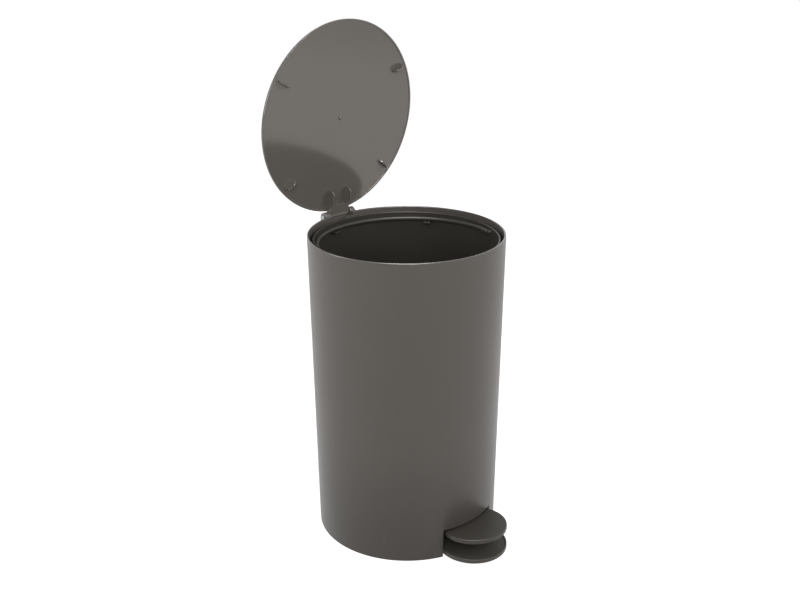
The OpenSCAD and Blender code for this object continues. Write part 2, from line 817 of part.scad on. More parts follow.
outer_shell();
base_pan();
base_screws();
foot_front_left();
foot_front_right();
foot_rear_left();
foot_rear_right();
pedal_lever();
pedal_pad();
pedal_axle();
axle_push_nuts();
push_rod();
rod_cap();
rod_shoe();
rod_guide_lower();
rod_guide_upper();
lid();
hinge_pin();
hinge_pin_nut();
inner_bucket();
bail_handle();
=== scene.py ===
import math
import bmesh
import bpy
from mathutils import Matrix, Vector


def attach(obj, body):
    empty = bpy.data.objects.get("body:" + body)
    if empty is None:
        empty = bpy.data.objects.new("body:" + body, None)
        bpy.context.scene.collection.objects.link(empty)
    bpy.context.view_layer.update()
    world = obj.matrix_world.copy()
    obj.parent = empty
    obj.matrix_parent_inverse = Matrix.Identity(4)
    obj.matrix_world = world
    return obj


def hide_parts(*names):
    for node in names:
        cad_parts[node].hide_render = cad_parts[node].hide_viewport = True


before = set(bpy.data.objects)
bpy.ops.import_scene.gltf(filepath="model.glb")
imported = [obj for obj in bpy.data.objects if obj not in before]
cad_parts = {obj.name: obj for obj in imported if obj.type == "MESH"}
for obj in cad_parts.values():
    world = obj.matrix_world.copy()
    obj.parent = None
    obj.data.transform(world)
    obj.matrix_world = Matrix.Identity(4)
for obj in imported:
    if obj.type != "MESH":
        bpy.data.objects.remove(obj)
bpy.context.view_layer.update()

mm = 0.001
smoothBelow = 32  # degrees; sharper edges stay hard
weld = 1e-4  # mm; points closer than this are joined
tiny = 1e-6  # mm; a shorter edge counts as none
straight = 89.5  # degrees; a corner with half this angle or more is left as it is
mitreLimit = 0.35  # keeps the inset of a sharp corner short

# Where the pail stands in the frame, in mm: the shell's axis and the bottom edge of its wall
place = {
    "axisY": 10.085,
    "shellFoot": 1.0,
    "hingeY": 89.0,  # behind the shell's axis
    "hingeZ": 273.0,  # over the shell's bottom edge
    "axleY": -5.0,
    "axleZ": 16.0,
    "lidOpen": 84.0,  # degrees from closed to the rest pose
    "pedalTilt": 3.0,
    "bucketTurn": -24.0,
}


def shellSpace():
    return Matrix.Translation(Vector((0, place["axisY"], place["shellFoot"])) * mm)


# A lid drawn closed lands in the open rest pose
def lidSpace():
    hinge = Vector((0, place["hingeY"], place["hingeZ"])) * mm
    turn = Matrix.Rotation(math.radians(-place["lidOpen"]), 4, "X")
    return shellSpace() @ Matrix.Translation(hinge) @ turn @ Matrix.Translation(-hinge)


def pedalSpace():
    axle = Vector((0, place["axleY"], place["axleZ"])) * mm
    turn = Matrix.Rotation(math.radians(-place["pedalTilt"]), 4, "X")
    return shellSpace() @ Matrix.Translation(axle) @ turn


def bucketSpace():
    return shellSpace() @ Matrix.Rotation(math.radians(place["bucketTurn"]), 4, "Z")


# Mesh helpers. All of them take millimetres


# Points on an arc round a centre, from one angle to another in degrees
def arc(centre, radius, start, end, steps=4):
    out = []
    for k in range(steps + 1):
        angle = math.radians(start + (end - start) * k / steps)
        out.append((centre[0] + radius * math.cos(angle), centre[1] + radius * math.sin(angle)))
    return out


# Closed outline with each corner turned into an arc; radii is one number or one for each corner
def softCorners(points, radii, steps=4):
    count = len(points)
    if not hasattr(radii, "__len__"):
        radii = [radii] * count
    out = []
    for i, point in enumerate(points):
        here = Vector(point)
        back = Vector(points[i - 1]) - here
        ahead = Vector(points[(i + 1) % count]) - here
        radius = radii[i]
        if radius <= 0 or back.length < tiny or ahead.length < tiny:
            out.append(tuple(here))
            continue
        back.normalize()
        ahead.normalize()
        half = back.angle(ahead) / 2
        if half > math.radians(straight):
            out.append(tuple(here))
            continue
        reach = radius / math.tan(half)
        centre = here + (back + ahead).normalized() * (radius / math.sin(half))
        first = here + back * reach - centre
        last = here + ahead * reach - centre
        sweep = first.angle_signed(last)
        for k in range(steps + 1):
            turn = -sweep * k / steps
            c, s = math.cos(turn), math.sin(turn)
            out.append((centre.x + first.x * c - first.y * s, centre.y + first.x * s + first.y * c))
    return out


# Turns a bmesh into a piece that rides on a body
def makePiece(name, bm, matter, space, body, replaces=()):
    bmesh.ops.remove_doubles(bm, verts=bm.verts, dist=weld)
    bmesh.ops.recalc_face_normals(bm, faces=bm.faces)
    bmesh.ops.transform(bm, matrix=space @ Matrix.Scale(mm, 4), verts=bm.verts)
    openEdges = sum(1 for e in bm.edges if len(e.link_faces) != 2)
    mesh = bpy.data.meshes.new(name)
    bm.to_mesh(mesh)
    bm.free()
    mesh.polygons.foreach_set("use_smooth", [True] * len(mesh.polygons))
    mesh.set_sharp_from_angle(angle=math.radians(smoothBelow))
    piece = bpy.data.objects.new(name, mesh)
    bpy.context.scene.collection.objects.link(piece)
    mesh.materials.append(matter)
    even = piece.modifiers.new("evenShade", "WEIGHTED_NORMAL")
    even.keep_sharp = True
    if replaces:
        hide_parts(*replaces)
    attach(piece, body)
    print("piece", name, len(mesh.polygons), "faces", openEdges, "open edges")
    return piece


# Revolves an outline of (radius, height) points about the z axis
def turnProfile(bm, profile, steps, start=0.0, sweep=360.0):
    whole = sweep >= 360
    rings = []
    for i in range(steps if whole else steps + 1):
        angle = math.radians(start + sweep * i / steps)
        c, s = math.cos(angle), math.sin(angle)
        rings.append([bm.verts.new((r * c, r * s, z)) for r, z in profile])
    count = len(profile)
    for i in range(steps):
        a = rings[i]
        b = rings[(i + 1) % len(rings)]
        for k in range(count):
            n = (k + 1) % count
            ring = [a[k], b[k], b[n], a[n]]
            ring = [v for j, v in enumerate(ring) if (v.co - ring[j - 1].co).length > tiny]
            if len(ring) > 2:
                bm.faces.new(ring)
    if not whole:
        bm.faces.new(list(reversed(rings[0])))
        bm.faces.new(rings[-1])


# Moves a closed outline, drawn anticlockwise, inwards by a small distance
def insetOutline(points, inset):
    out = []
    count = len(points)
    for i in range(count):
        here = Vector(points[i])
        a = (here - Vector(points[i - 1])).normalized()
        b = (Vector(points[(i + 1) % count]) - here).normalized()
        na, nb = Vector((-a.y, a.x)), Vector((-b.y, b.x))
        n = na + nb
        if n.length < tiny:
            n = na
        n.normalize()
        out.append(here + n * inset / max(mitreLimit, n.dot(na)))
    return out


# Rings of points of one outline at (inset, height) levels
def outlineRings(bm, outline, levels):
    rings = []
    for inset, z in levels:
        points = insetOutline(outline, inset) if inset else outline
        rings.append([bm.verts.new((p[0], p[1], z)) for p in points])
    return rings


# Faces between each ring and the next
def joinRings(bm, rings):
    for a, b in zip(rings, rings[1:]):
        for i in range(len(a)):
            n = (i + 1) % len(a)
            bm.faces.new((a[i], a[n], b[n], b[i]))


# Closed solid from one outline at several levels
def stackRings(bm, outline, levels):
    rings = outlineRings(bm, outline, levels)
    joinRings(bm, rings)
    bm.faces.new(list(reversed(rings[0])))
    bm.faces.new(rings[-1])


# Extrudes an outline along z with rounded lower and upper edges
def softSlab(bm, outline, low, high, lowEdge, highEdge, steps=3):
    turns = [math.pi / 2 * k / steps for k in range(steps + 1)]
    levels = [(lowEdge * (1 - math.sin(t)), low + lowEdge * (1 - math.cos(t))) for t in turns]
    levels += [(highEdge * (1 - math.cos(t)), high - highEdge * (1 - math.sin(t))) for t in turns]
    stackRings(bm, outline, levels)


# Runs a build step and moves what it made
def placedBy(bm, matrix, build, *values, **named):
    before = set(bm.verts)
    build(bm, *values, **named)
    bmesh.ops.transform(bm, matrix=matrix, verts=[v for v in bm.verts if v not in before])


# An outline drawn as (y, z) and extruded over x
def acrossX(shiftX=0.0):
    return Matrix(((0, 0, 1, shiftX), (1, 0, 0, 0), (0, 1, 0, 0), (0, 0, 0, 1)))


# Shader groups


def newGroup(name, inputs, outputs):
    group = bpy.data.node_groups.new(name, "ShaderNodeTree")
    for label, kind, value in inputs:
        socket = group.interface.new_socket(label, in_out="INPUT", socket_type=kind)
        socket.default_value = value
    for label, kind in outputs:
        group.interface.new_socket(label, in_out="OUTPUT", socket_type=kind)
    return group, group.nodes.new("NodeGroupInput"), group.nodes.new("NodeGroupOutput")


# Adds a node; each value is a number, a colour or another node's socket
def node(tree, kind, values=None, **settings):
    made = tree.nodes.new(kind)
    for key, value in settings.items():
        setattr(made, key, value)
    for key, value in (values or {}).items():
        if isinstance(value, bpy.types.NodeSocket):
            tree.links.new(value, made.inputs[key])
        else:
            made.inputs[key].default_value = value
    return made


def calc(tree, operation, *values):
    return node(tree, "ShaderNodeMath", dict(enumerate(values)), operation=operation).outputs[0]


def noise(tree, where, scale, detail, roughness):
    values = {"Vector": where, "Scale": scale, "Detail": detail, "Roughness": roughness}
    return node(tree, "ShaderNodeTexNoise", values).outputs["Fac"]


def blendColor(tree, factor, first, second):
    values = {"Factor": factor, "A": first, "B": second}
    return node(tree, "ShaderNodeMix", values, data_type="RGBA").outputs["Result"]


def scaleColor(tree, color, gain):
    return node(tree, "ShaderNodeVectorMath", {0: color, "Scale": gain}, operation="SCALE").outputs[0]


def ownPlace(tree):
    return node(tree, "ShaderNodeTexCoord").outputs["Object"]


# Fine moulded grain, cloudy colour and soft flow lines of injection-moulded plastic
def mouldedPlasticGroup():
    group, into, out = newGroup(
        "mouldedPlastic",
        [
            ("Base", "NodeSocketColor", (0.1, 0.1, 0.1, 1)),
            ("Cloud Amount", "NodeSocketFloat", 0.06),
            ("Cloud Scale", "NodeSocketFloat", 14.0),
            ("Grain Scale", "NodeSocketFloat", 2600.0),
            ("Grain Amount", "NodeSocketFloat", 0.05),
            ("Roughness", "NodeSocketFloat", 0.4),
            ("Roughness Spread", "NodeSocketFloat", 0.08),
        ],
        [("Color", "NodeSocketColor"), ("Roughness", "NodeSocketFloat"), ("Height", "NodeSocketFloat")],
    )
    where = ownPlace(group)
    cloud = noise(group, where, into.outputs["Cloud Scale"], 5.0, 0.55)
    grain = noise(group, where, into.outputs["Grain Scale"], 2.0, 0.6)
    cloudShift = calc(group, "SUBTRACT", cloud, 0.5)
    cloudPart = calc(group, "MULTIPLY", cloudShift, into.outputs["Cloud Amount"])
    grainShift = calc(group, "SUBTRACT", grain, 0.5)
    grainPart = calc(group, "MULTIPLY", grainShift, into.outputs["Grain Amount"])
    gain = calc(group, "ADD", calc(group, "ADD", cloudPart, grainPart), 1.0)
    spread = calc(group, "MULTIPLY", cloudShift, into.outputs["Roughness Spread"])
    rough = calc(group, "ADD", spread, into.outputs["Roughness"])
    rough.node.use_clamp = True
    group.links.new(scaleColor(group, into.outputs["Base"], gain), out.inputs["Color"])
    group.links.new(rough, out.inputs["Roughness"])
    group.links.new(grain, out.inputs["Height"])
    return group


# Mask of small rubs and dust specks, for colour and roughness
def handlingWearGroup():
    group, into, out = newGroup(
        "handlingWear",
        [("Scale", "NodeSocketFloat", 120.0), ("Amount", "NodeSocketFloat", 0.3)],
        [("Mask", "NodeSocketFloat")],
    )
    stretch = node(group, "ShaderNodeMapping", {"Scale": (1.0, 1.0, 0.18), "Vector": ownPlace(group)})
    rubs = noise(group, stretch.outputs["Vector"], into.outputs["Scale"], 6.0, 0.7)
    keep = node(group, "ShaderNodeMapRange", {"From Min": 0.6, "From Max": 0.82, "Value": rubs})
    mask = calc(group, "MULTIPLY", keep.outputs["Result"], into.outputs["Amount"])
    group.links.new(mask, out.inputs["Mask"])
    return group


# Ramp over the height in the part, in metres, between a group's low and high levels
def heightRamp(group, into, limits, **settings):
    height = node(group, "ShaderNodeSeparateXYZ", {0: ownPlace(group)}).outputs["Z"]
    levels = {"From Min": into.outputs["Low"], "From Max": into.outputs["High"], "Value": height}
    return node(group, "ShaderNodeMapRange", {**levels, **limits}, **settings).outputs["Result"]


# Painted shade towards the floor: all of the colour above the high level, a share of it at the low one, so
# the plastic darkens near the foot where the floor's shade falls
def makePaintedFootShade():
    group, into, out = newGroup(
        "paintedFootShade",
        [
            ("Low", "NodeSocketFloat", 0.004),
            ("High", "NodeSocketFloat", 0.12),
            ("Share", "NodeSocketFloat", 1.0),
        ],
        [("Gain", "NodeSocketFloat")],
    )
    gain = heightRamp(group, into, {"To Min": into.outputs["Share"]}, interpolation_type="SMOOTHSTEP")
    group.links.new(gain, out.inputs["Gain"])
    return group


# Mask of the rim's rounding, where handling has polished the edge
def polishedRimGroup():
    group, into, out = newGroup(
        "polishedRim",
        [
            ("Low", "NodeSocketFloat", 0.2751),
            ("High", "NodeSocketFloat", 0.2756),
            ("Amount", "NodeSocketFloat", 0.2),
        ],
        [("Mask", "NodeSocketFloat")],
    )
    mask = heightRamp(group, into, {"To Max": into.outputs["Amount"]})
    group.links.new(mask, out.inputs["Mask"])
    return group


plasticGroup = mouldedPlasticGroup()
rimGroup = polishedRimGroup()
paintedFootShadeGroup = makePaintedFootShade()
wearGroup = handlingWearGroup()


# Puts a group into a material with this finish's own values
def placeGroup(tree, group, values):
    return node(tree, "ShaderNodeGroup", values, node_tree=group).outputs


# What a plastic has unless its finish says otherwise
plainFinish = {
    "cloud": 0.06,
    "cloudScale": 14.0,
    "grain": 0.05,
    "grainScale": 2600.0,
    "roughSpread": 0.1,
    "wear": 0.2,
    "wearScale": 90.0,
    "wornGain": 1.5,  # colour of a rub over the base colour
    "wornLift": 0.01,
    "wornRough": 0.25,
    # foot: share of the colour left at the floor by the painted shade towards the floor
    "foot": 1.0,  # share of the colour at the floor
    "bump": 0.12,
    "bumpDeep": 0.00004,
    "specular": 0.5,
    "tint": (1.0, 0.97, 0.94),
}


# Moulded plastic with its own base colour, roughness and grain
def plastic(name):
    look = {**plainFinish, **finishes[name]}
    matter = bpy.data.materials.new(name)
    matter.use_nodes = True
    tree = matter.node_tree
    surface = tree.nodes["Principled BSDF"]
    grain = {
        "Base": (*look["base"], 1),
        "Cloud Amount": look["cloud"],
        "Cloud Scale": look["cloudScale"],
        "Grain Scale": look["grainScale"],
        "Grain Amount": look["grain"],
        "Roughness": look["rough"],
        "Roughness Spread": look["roughSpread"],
    }
    body = placeGroup(tree, plasticGroup, grain)
    worn = placeGroup(tree, wearGroup, {"Amount": look["wear"], "Scale": look["wearScale"]})["Mask"]
    # painted shade towards the floor: the body colour is scaled by this gain
    foot = placeGroup(tree, paintedFootShadeGroup, {"Share": look["foot"]})["Gain"]
    pale = [min(1, v * look["wornGain"] + look["wornLift"]) for v in look["base"]]
    color = blendColor(tree, worn, scaleColor(tree, body["Color"], foot), (*pale, 1))
    rough = calc(tree, "ADD", body["Roughness"], calc(tree, "MULTIPLY", worn, look["wornRough"]))
    if "rim" in look:
        rim = placeGroup(tree, rimGroup, {"Amount": look["rim"]})["Mask"]
        rough = calc(tree, "SUBTRACT", rough, rim)
        tree.links.new(calc(tree, "MULTIPLY", rim, look["rimCoat"]), surface.inputs["Coat Weight"])
        surface.inputs["Coat Roughness"].default_value = look["rimCoatRough"]
    relief = {"Strength": look["bump"], "Distance": look["bumpDeep"], "Height": body["Height"]}
    bump = node(tree, "ShaderNodeBump", relief)
    tree.links.new(color, surface.inputs["Base Color"])
    tree.links.new(rough, surface.inputs["Roughness"])
    tree.links.new(bump.outputs["Normal"], surface.inputs["Normal"])
    surface.inputs["Specular IOR Level"].default_value = look["specular"]
    surface.inputs["Specular Tint"].default_value = (*look["tint"], 1)
    return matter


steelLook = {
    "dark": (0.2, 0.2, 0.205),
    "bright": (0.36, 0.36, 0.365),
    "lineScale": 900.0,
    "smooth": 0.2,
    "rough": 0.38,
    "bump": 0.15,
    "bumpDeep": 0.00003,
}


# Steel wire with fine lines along its length; stretch draws the noise out along one axis
def drawnSteel(name, stretch):
    look = steelLook
    matter = bpy.data.materials.new(name)
    matter.use_nodes = True
    tree = matter.node_tree
    surface = tree.nodes["Principled BSDF"]
    along = node(tree, "ShaderNodeMapping", {"Scale": stretch, "Vector": ownPlace(tree)})
    lines = noise(tree, along.outputs["Vector"], look["lineScale"], 4.0, 0.5)
    tone = node(tree, "ShaderNodeValToRGB", {"Fac": lines})
    tone.color_ramp.elements[0].color = (*look["dark"], 1)
    tone.color_ramp.elements[1].color = (*look["bright"], 1)
    limits = {"To Min": look["smooth"], "To Max": look["rough"], "Value": lines}
    rough = node(tree, "ShaderNodeMapRange", limits)
    relief = {"Strength": look["bump"], "Distance": look["bumpDeep"], "Height": lines}
    bump = node(tree, "ShaderNodeBump", relief)
    tree.links.new(tone.outputs["Color"], surface.inputs["Base Color"])
    tree.links.new(rough.outputs["Result"], surface.inputs["Roughness"])
    tree.links.new(bump.outputs["Normal"], surface.inputs["Normal"])
    surface.inputs["Metallic"].default_value = 1.0
    return matter


finishes = {
    "shellPlastic": {
        "base": (0.117, 0.1055, 0.0955),
        "rough": 0.4,
        "cloud": 0.05,
        "bump": 0.08,
        "specular": 0.3,
        # painted shade: the shell keeps this share of its colour at the floor
        "foot": 0.62,
        "rim": 0.2,  # how much smoother the rim is
        "rimCoat": 4.0,  # gloss of the rim for each step of smoothness
        "rimCoatRough": 0.2,
    },
    "lidPlastic": {
        "base": (0.147, 0.1325, 0.1185),
        "rough": 0.12,
        "cloud": 0.04,
        "bump": 0.03,
        "roughSpread": 0.05,
        "wear": 0.1,
        "tint": (1.0, 0.955, 0.915),
    },
    "pedalPlastic": {"base": (0.049, 0.0445, 0.0375), "rough": 0.45, "cloud": 0.05, "specular": 0.35},
    "panPlastic": {"base": (0.062, 0.057, 0.048), "rough": 0.5, "bump": 0.14, "specular": 0.35},
    "bucketPlastic": {"base": (0.04, 0.037, 0.032), "rough": 0.36, "bump": 0.08},
    "bailPlastic": {
        "base": (0.05, 0.046, 0.041),
        "rough": 0.42,
        "cloud": 0.04,
        "bump": 0.05,
        "specular": 0.35,
    },
    "leverPlastic": {"base": (0.022, 0.021, 0.02), "rough": 0.45, "cloud": 0.08, "bump": 0.14},
    "footRubber": {
        "base": (0.012, 0.012, 0.012),
        "rough": 0.75,
        "cloud": 0.12,
        "grain": 0.12,
        "bump": 0.3,
        "wear": 0.4,
    },
}
shellPlastic = plastic("shellPlastic")
lidPlastic = plastic("lidPlastic")
pedalPlastic = plastic("pedalPlastic")
panPlastic = plastic("panPlastic")
bucketPlastic = plastic("bucketPlastic")
bailPlastic = plastic("bailPlastic")
leverPlastic = plastic("leverPlastic")
footRubber = plastic("footRubber")
rodSteel = drawnSteel("rodSteel", (1, 1, 0.02))
pinSteel = drawnSteel("pinSteel", (0.03, 1, 1))

# The CAD nodes wear the same materials as the pieces
nodeLooks = (
    (shellPlastic, ["outer_shell"]),
    (panPlastic, ["base_pan"]),
    (footRubber, [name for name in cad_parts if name.startswith("foot_")]),
    (pedalPlastic, ["pedal_pad"]),
    (leverPlastic, ["pedal_lever", "rod_cap", "rod_shoe", "rod_guide_lower", "rod_guide_upper"]),
    (pinSteel, ["base_screws", "pedal_axle", "axle_push_nuts", "hinge_pin", "hinge_pin_nut"]),
    (rodSteel, ["push_rod"]),
    (lidPlastic, ["lid"]),
    (bucketPlastic, ["inner_bucket"]),
    (bailPlastic, ["bail_handle"]),
)
for matter, names in nodeLooks:
    for name in names:
        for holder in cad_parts[name].material_slots:
            holder.material = matter
print("materials done")


# Outer shell: tapered wall with its slot, its rim notch and the gap behind the rod

shellForm = {
    "topR": 85.0,
    "baseR": 81.1,
    "height": 275.0,
    "wall": 1.5,
    "bead": 0.3,
    "beadHigh": 2.6,
    "rimRound": 0.85,
    "footRound": 0.4,
    "slotHalf": 29.6,
    "slotTop": 26.8,
    "notchHalf": 12.0,
    "notchZ": 270.8,
    "gapHalf": 5.5,
    "footRing": 8,
    "rings": (60, 110, 160, 210, 250),
    "slotColumns": 16,
    "sideColumns": 74,
    "sideGap": 1.5,  # degrees from an opening's edge to the next column
    "hardAngle": 60,  # degrees; sharper edges are rounded
    "edgeRound": 0.25,
}


def shellR(z):
    return shellForm["baseR"] + (shellForm["topR"] - shellForm["baseR"]) * z / shellForm["height"]


# Profile of the wall, from the outside's foot over the rim and down the inside
def wallProfile():
    form = shellForm
    soft, foot = form["rimRound"], form["footRound"]
    high = form["height"] - soft
    beadIn = form["topR"] - form["wall"] - form["bead"]
    beadZ = form["height"] - form["beadHigh"]
    stops = [form["footRing"], form["slotTop"], *form["rings"], form["notchZ"]]
    outside = arc((shellR(0) - foot, foot), foot, -90, 0)
    outside += [(shellR(z), z) for z in stops]
    rim = arc((shellR(high) - soft, high), soft, 0, 90)
    rim += arc((beadIn + soft, high), soft, 90, 180)
    inside = [(beadIn, beadZ), (shellR(beadZ - form["bead"]) - form["wall"], beadZ - form["bead"])]
    inside += [(shellR(z) - form["wall"], z) for z in reversed(stops)]
    return outside + rim + inside + [(shellR(0) - form["wall"], 0)]


# Columns of the wall: planes of constant x at the slot and at the back, radial ones between them
def wallColumns():
    form = shellForm
    count, sideCount = form["slotColumns"], form["sideColumns"]
    inR, notch, gap = form["baseR"] - form["wall"], form["notchHalf"], form["gapHalf"]
    columns = [("front", form["slotHalf"] * (2 * k / count - 1)) for k in range(count + 1)]
    first = -90 + math.degrees(math.asin(form["slotHalf"] / inR)) + form["sideGap"]
    last = 90 - math.degrees(math.asin(notch / inR)) - form["sideGap"]
    side = [first + (last - first) * k / sideCount for k in range(sideCount + 1)]
    columns += [("turn", a) for a in side]
    columns += [("rear", x) for x in (notch, gap, -gap, -notch)]
    columns += [("turn", 180 - a) for a in reversed(side)]
    return columns


def wallPoint(column, r, z):
    kind, value = column
    if kind == "turn":
        return (r * math.cos(math.radians(value)), r * math.sin(math.radians(value)), z)
    y = math.sqrt(r * r - value * value)
    return (value, -y if kind == "front" else y, z)


def buildWall(bm):
    form = shellForm
    profile = wallProfile()
    columns = wallColumns()
    grid = [[bm.verts.new(wallPoint(c, r, z)) for r, z in profile] for c in columns]
    count = len(profile)
    near = 1e-3  # mm
    below, above = -1, form["height"] + 1
    slotTop, notchZ = form["slotTop"], form["notchZ"]

    # which stretch of the profile is open between two columns
    def openFrom(a, b):
        if a[0] == "front" and b[0] == "front":
            return (below, slotTop)
        if a[0] == "rear" and b[0] == "rear":
            if abs(a[1] - b[1]) > form["notchHalf"] - form["gapHalf"] + near and a[1] > 0:
                return (below, above)
            return (notchZ, above)
        return None

    # the end face of an opening: the part of the profile inside it, in one plane
    def endFace(i, low, high):
        ring = [grid[i][k] for k in range(count) if low - near <= profile[k][1] <= high + near]
        bm.faces.new(ring)

    # the flat across the wall where an opening starts
    def sill(i, j, z):
        rows = [k for k in range(count) if abs(profile[k][1] - z) < near]
        a, b = rows[0], rows[-1]
        bm.faces.new((grid[i][a], grid[j][a], grid[j][b], grid[i][b]))

    for i in range(len(columns)):
        j = (i + 1) % len(columns)
        gap = openFrom(columns[i], columns[j])
        for k in range(count):
            n = (k + 1) % count
            low, high = sorted((profile[k][1], profile[n][1]))
            if gap and low >= gap[0] - near and high <= gap[1] + near:
                continue
            bm.faces.new((grid[i][k], grid[j][k], grid[j][n], grid[i][n]))
        for z in (slotTop, notchZ):
            if gap and z in gap:
                sill(i, j, z)
    endFace(0, below, slotTop)
    endFace(form["slotColumns"], below, slotTop)
    rear = [i for i, c in enumerate(columns) if c[0] == "rear"]
    endFace(rear[0], notchZ, above)
    endFace(rear[3], notchZ, above)
    endFace(rear[1], below, notchZ)
    endFace(rear[2], below, notchZ)
    bmesh.ops.recalc_face_normals(bm, faces=bm.faces)
    limit = math.radians(form["hardAngle"])
    hard = [e for e in bm.edges if len(e.link_faces) == 2 and e.calc_face_angle() > limit]
    how = {"segments": 3, "profile": 0.5, "affect": "EDGES", "clamp_overlap": True}
    bmesh.ops.bevel(bm, geom=hard, offset=form["edgeRound"], **how)


bm = bmesh.new()
buildWall(bm)
makePiece("shellWall", bm, shellPlastic, shellSpace(), "shell", ["outer_shell"])

# Channel on the back that the rod runs in
channelForm = {
    "half": 7.0,
    "out": 6.6,
    "corner": 2.0,
    "wall": 1.5,
    "root": 0.75,
    "low": 0.2,
    "top": 266.67,
    "lowEdge": 0.3,
    "edge": 0.4,
}


def channelOutline():
    form = channelForm
    half, out, corner, wall = form["half"], form["out"], form["corner"], form["wall"]
    outside = [(half, -form["root"])]
    outside += arc((half - corner, out - corner), corner, 0, 90)
    outside += arc((corner - half, out - corner), corner, 90, 180)
    outside += [(-half, -form["root"])]
    inHalf, inOut = half - wall, out - wall
    inside = [(-inHalf, -form["root"])]
    inside += arc((corner - inHalf, inOut - corner), corner, 180, 90)
    inside += arc((inHalf - corner, inOut - corner), corner, 90, 0)
    return outside + inside + [(inHalf, -form["root"])]


def leanWithWall():
    lean = math.atan2(shellForm["topR"] - shellForm["baseR"], shellForm["height"])
    up = Matrix.Translation((0, shellForm["topR"], shellForm["height"]))
    return up @ Matrix.Rotation(-lean, 4, "X") @ Matrix.Translation((0, 0, -shellForm["height"]))


bm = bmesh.new()
ends = [channelForm[key] for key in ("low", "top", "lowEdge", "edge")]
placedBy(bm, leanWithWall(), softSlab, channelOutline(), *ends)
makePiece("rodChannel", bm, shellPlastic, shellSpace(), "shell", ["outer_shell"])

# Hinge ears beside the lid's block
earForm = {
    "in": 12.0,
    "thick": 5.4,
    "r": 4.4,
    "back": 7.0,
    "drop": 24.0,
    "root": 6.0,
    "cutY": 82.8,
    "heel": 0.8,
    "edge": 0.45,
}


# Side outline of an ear in (y, z): round about the hinge axis and upright behind it
def earOutline():
    form = earForm
    y, z, r = place["hingeY"], place["hingeZ"], form["r"]
    wallY = shellForm["topR"] - form["root"]
    high = Vector((wallY, shellForm["height"] - form["root"]))
    low = Vector((wallY, z - form["drop"]))
    reach = Vector((y, z)) - high
    slope = math.atan2(reach.y, reach.x) + math.asin(r / reach.length)
    foot = Vector((y + r, z - form["back"]))
    lowCut = low.lerp(foot, (form["cutY"] - wallY) / (foot.x - wallY))
    highCut = high + Vector((math.cos(slope), math.sin(slope))) * ((form["cutY"] - wallY) / math.cos(slope))
    touch = math.degrees(slope) + 90
    return [tuple(lowCut), tuple(foot)] + arc((y, z), r, 0, touch, 10) + [tuple(highCut)]


for side, label in ((1, "earRight"), (-1, "earLeft")):
    bm = bmesh.new()
    start = earForm["in"] if side > 0 else -earForm["in"] - earForm["thick"]
    outline = earOutline()
    outline = softCorners(outline, [0, earForm["heel"]] + [0] * (len(outline) - 2))
    placedBy(bm, acrossX(start), softSlab, outline, 0, earForm["thick"], earForm["edge"], earForm["edge"])
    makePiece(label, bm, shellPlastic, shellSpace(), "shell", ["outer_shell"])

# Posts inside the wall that carry the bucket and take the base screws
postForm = {
    "placeR": 70.1,
    "r": 4.5,
    "low": 6.1,
    "top": 34.0,
    "bore": 1.5,
    "deep": 12.0,
    "round": 0.5,
    "angle": 35,  # degrees from the x axis
    "steps": 40,
}
webForm = {"half": 0.75, "sink": 0.3, "short": 0.5, "lowEdge": 0.2, "edge": 0.3}


def postAngles():
    angle = postForm["angle"]
    return (angle, 180 - angle, 180 + angle, -angle)


def postProfile():
    r, low, top, soft = [postForm[key] for key in ("r", "low", "top", "round")]
    bore, deep = postForm["bore"], low + postForm["deep"]
    profile = [(0, deep), (bore, deep), (bore, low), (r, low)]
    return profile + arc((r - soft, top - soft), soft, 0, 90) + [(0, top)]


bm = bmesh.new()
webIn = postForm["placeR"] + postForm["r"] - webForm["sink"]
webOut, half = shellForm["baseR"] - webForm["short"], webForm["half"]
web = [(webIn, -half), (webOut, -half), (webOut, half), (webIn, half)]
ends = (postForm["low"], postForm["top"], webForm["lowEdge"], webForm["edge"])
for angle in postAngles():
    spin = Matrix.Rotation(math.radians(angle), 4, "Z")
    out = Matrix.Translation((postForm["placeR"], 0, 0))
    placedBy(bm, spin @ out, turnProfile, postProfile(), postForm["steps"])
    placedBy(bm, spin, softSlab, web, *ends)
makePiece("bucketPosts", bm, shellPlastic, shellSpace(), "shell", ["outer_shell"])
print("shell done")


# Lid, drawn closed: plate with its lip, edge ribs, hinge ribs, hinge block and gate mark

lidForm = {
    "r": 85.48,
    "lipZ": 275.3,
    "flatZ": 275.9,
    "lip": 1.6,
    "wall": 2.0,
    "crown": 0.6,
    "edgeRound": 0.8,
    "lipRound": 0.25,
    "flatEnd": 1.5,  # from the lip to the last ring of the flat
    "crownRings": 10,
    "steps": 180,
}


def lidProfile():
    form = lidForm
    top = form["flatZ"] + form["wall"]
    flatR = form["r"] - form["edgeRound"]
    lipIn = form["r"] - form["lip"]
    soft = form["lipRound"]
    profile = [(0, form["flatZ"]), (lipIn - form["flatEnd"], form["flatZ"])]
    profile += arc((lipIn - soft, form["flatZ"] - soft), soft, 90, 0, 3)
    profile += arc((lipIn + soft, form["lipZ"] + soft), soft, 180, 270, 3)
    profile += arc((form["r"] - soft, form["lipZ"] + soft), soft, -90, 0, 3)
    profile += arc((flatR, top - form["edgeRound"]), form["edgeRound"], 0, 90, 5)
    for i in range(form["crownRings"] - 1, -1, -1):
        share = i / form["crownRings"]
        profile.append((flatR * share, top + form["crown"] * (1 - share**2)))
    return profile


bm = bmesh.new()
turnProfile(bm, lidProfile(), lidForm["steps"])
makePiece("lidPlate", bm, lidPlastic, lidSpace(), "lid", ["lid"])

